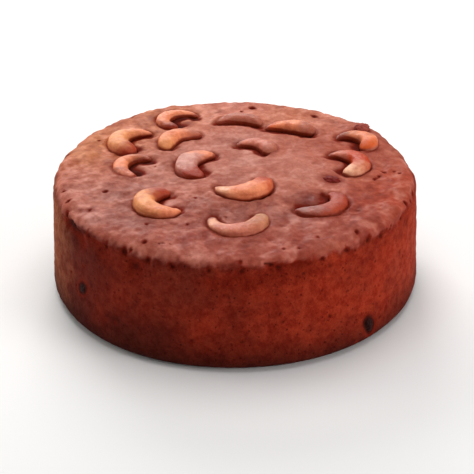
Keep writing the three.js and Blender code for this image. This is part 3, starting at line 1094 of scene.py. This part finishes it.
def speckled(tree, groups, place, finish):
    """A finish's grain and the piece's own tone speckled by it: height, mask and colour."""
    grain, speckle_group = groups
    scales, factors = FINISHES[finish]
    crumb = place_group(tree, grain, {"Vector": place, **dict(zip(SCALE_FIELDS, scales))})
    inputs = dict(zip(FACTOR_FIELDS, [(*factor, 1) for factor in factors]))
    inputs |= {"Tone": field(tree, "tone", "Color"), "Mask": crumb["Mask"], "Pits": crumb["Pits"]}
    skin = place_group(tree, speckle_group, inputs)
    return crumb["Height"], crumb["Mask"], skin["Color"]


# ---- Materials ----

def crust_material(groups):
    """Browned crust on the top, softly glossy, and dull crumb on the wall."""
    material, tree, shader, place = new_material("Baked crust", roughness=0.85, specular=0.06)
    side = field(tree, "side")
    bare = math_node(tree, "SUBTRACT", 1.0, side)
    top_height, top_mask, top_colour = speckled(tree, groups, place, "top")
    wall_height, _, wall_colour = speckled(tree, groups, place, "wall")
    colour = mix_colours(tree, side, top_colour, wall_colour)

    top_share = math_node(tree, "MULTIPLY", bare, TOP_BUMP)
    wall_share = math_node(tree, "MULTIPLY", side, WALL_BUMP)
    top_height = math_node(tree, "MULTIPLY", top_height, top_share)
    wall_height = math_node(tree, "MULTIPLY", wall_height, wall_share)
    height = math_node(tree, "ADD", top_height, wall_height)
    bump(tree, shader, height, CRUST_GRAIN_DEPTH)

    unshaded = spread_node(tree, field(tree, "shade_and_scorch"), 0.05, 0.5, to_low=1.0, to_high=0.0)
    glossy = spread_node(tree, top_mask, 0.40, 0.80, to_low=0.06, to_high=0.13)
    gloss = math_node(tree, "MULTIPLY", math_node(tree, "MULTIPLY", bare, unshaded), glossy)
    fill(tree, shader, {"Base Color": colour, "Coat Weight": gloss, "Coat Roughness": 0.30})
    return material


def skin_material(groups, finish, name, depth, **gloss):
    """A thin skin in one finish, a little glossy, with its grain pressed in to that depth."""
    material, tree, shader, place = new_material(name, **gloss)
    height, _, colour = speckled(tree, groups, place, finish)
    fill(tree, shader, {"Base Color": colour})
    bump(tree, shader, height, depth)
    return material


def floor_material():
    """A plain pale floor."""
    material, tree, shader, _ = new_material("Pale floor", roughness=0.9, specular=0.1)
    fill(tree, shader, {"Base Color": (0.9, 0.9, 0.9, 1)})
    return material


# ---- Stage ----

def make_floor():
    """A wide flat floor, just under the cake's base."""
    side = np.linspace(-FLOOR_HALF, FLOOR_HALF, FLOOR_POINTS)
    x, y = np.meshgrid(side, side, indexing="ij")
    points = np.stack([x, y, 0 * x - FLOOR_GAP], -1).reshape(-1, 3)
    floor = put_mesh("floor", points, grid_faces(FLOOR_POINTS), np.zeros((0, 3), int))
    floor.data.materials.append(floor_material())


def aim(thing, place, target):
    """Puts a light or camera at a place and turns it towards the target."""
    thing.location = place
    thing.rotation_euler = (Vector(target) - Vector(place)).to_track_quat("-Z", "Y").to_euler()


def area_light(name, place, size, power, colour):
    """A square soft light that faces the cake."""
    light = bpy.data.lights.new(name, "AREA")
    light.shape = "SQUARE"
    light.size = size
    light.energy = power
    light.color = colour
    lamp = bpy.data.objects.new(name, light)
    bpy.context.scene.collection.objects.link(lamp)
    aim(lamp, place, LIGHT_TARGET)


def make_lights():
    """A low broad light behind, a soft one overhead, one at each side, and pale walls."""
    for row in LIGHTS:
        area_light(*row)
    world = bpy.data.worlds.new("Studio")
    world.use_nodes = True
    background = world.node_tree.nodes["Background"]
    background.inputs["Color"].default_value = (1, 1, 1, 1)
    background.inputs["Strength"].default_value = WORLD_STRENGTH
    bpy.context.scene.world = world


def make_camera():
    """A long lens, straight in front and high enough to see the whole top."""
    elevation = math.radians(CAMERA_ELEVATION)
    centre = Vector((0, 0, HEIGHT / 2 * MM))
    back = Vector((0, -math.cos(elevation), math.sin(elevation)))
    screen_up = Vector((0, math.sin(elevation), math.cos(elevation)))
    camera_data = bpy.data.cameras.new("camera")
    camera_data.lens = CAMERA_LENS
    camera_data.clip_end = 20
    camera = bpy.data.objects.new("camera", camera_data)
    bpy.context.scene.collection.objects.link(camera)
    target = centre - screen_up * AIM_DROP + Vector((AIM_RIGHT, 0, 0))
    aim(camera, centre + back * CAMERA_AWAY, target)
    bpy.context.scene.camera = camera


def main():
    """Makes the pieces, puts each in place of its CAD node, and sets the stage."""
    groups = (baked_grain(), speckle())
    finishes = {
        "crust": crust_material(groups),
        "cashew": skin_material(
            groups, "cashew", "Toasted cashew", CASHEW_GRAIN_DEPTH, roughness=0.34, specular=0.14
        ),
        "raisin": skin_material(
            groups, "raisin", "Raisin skin", RAISIN_GRAIN_DEPTH, roughness=0.6, specular=0.08
        ),
    }
    made = [(make_cake(), "cake", "crust")]
    for number, nut in enumerate(NUTS, 1):
        made.append((make_nut(number, nut), f"cashew_{number:02d}", "cashew"))
    for number, raisin in enumerate(RAISINS, 1):
        made.append((make_raisin(number, raisin), raisin["name"], "raisin"))
    for piece, node, finish in made:
        piece.data.materials.append(finishes[finish])
        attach(piece, "root")
        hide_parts(node)

    make_floor()
    make_lights()
    make_camera()
    bpy.context.scene.view_settings.view_transform = "Standard"


main()
